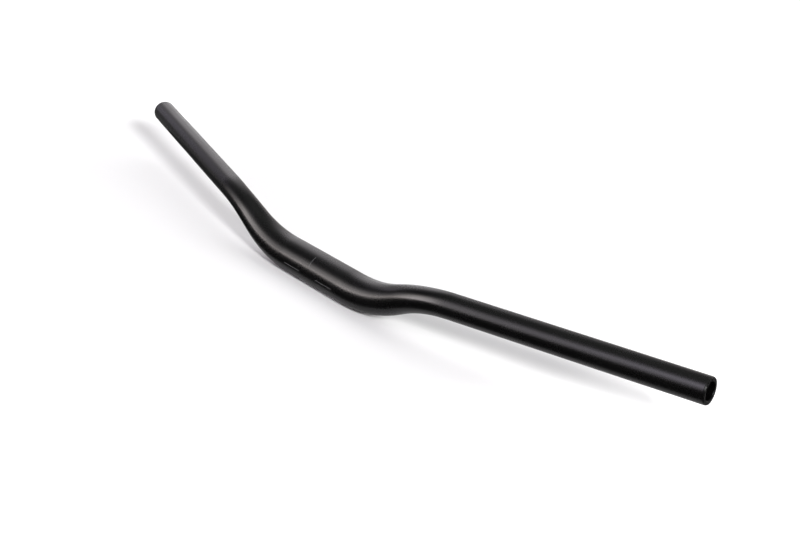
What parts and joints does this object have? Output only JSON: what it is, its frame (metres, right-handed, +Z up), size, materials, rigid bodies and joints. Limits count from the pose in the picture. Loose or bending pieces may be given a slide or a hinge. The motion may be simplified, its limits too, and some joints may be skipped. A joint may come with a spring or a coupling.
{
  "type": "riser handlebar",
  "caption": "One-piece riser handlebar for a bicycle: a clamp zone in the middle, bends that lift and sweep the tube, and straight grips.",
  "frame": {"origin": "middle of the clamp zone, on its axis", "axes": "+X along the clamp axis to the rider's left, +Y back towards the rider, +Z up; the lower bends rise in the upright plane through X"},
  "size_m": [0.7654, 0.0887, 0.0667],
  "materials": {
    "black_aluminium": "fine matte black anodising over a shot-peened skin"
  },
  "bodies": {
    "root": {"handlebar": "black_aluminium"}
  },
  "joints": []
}
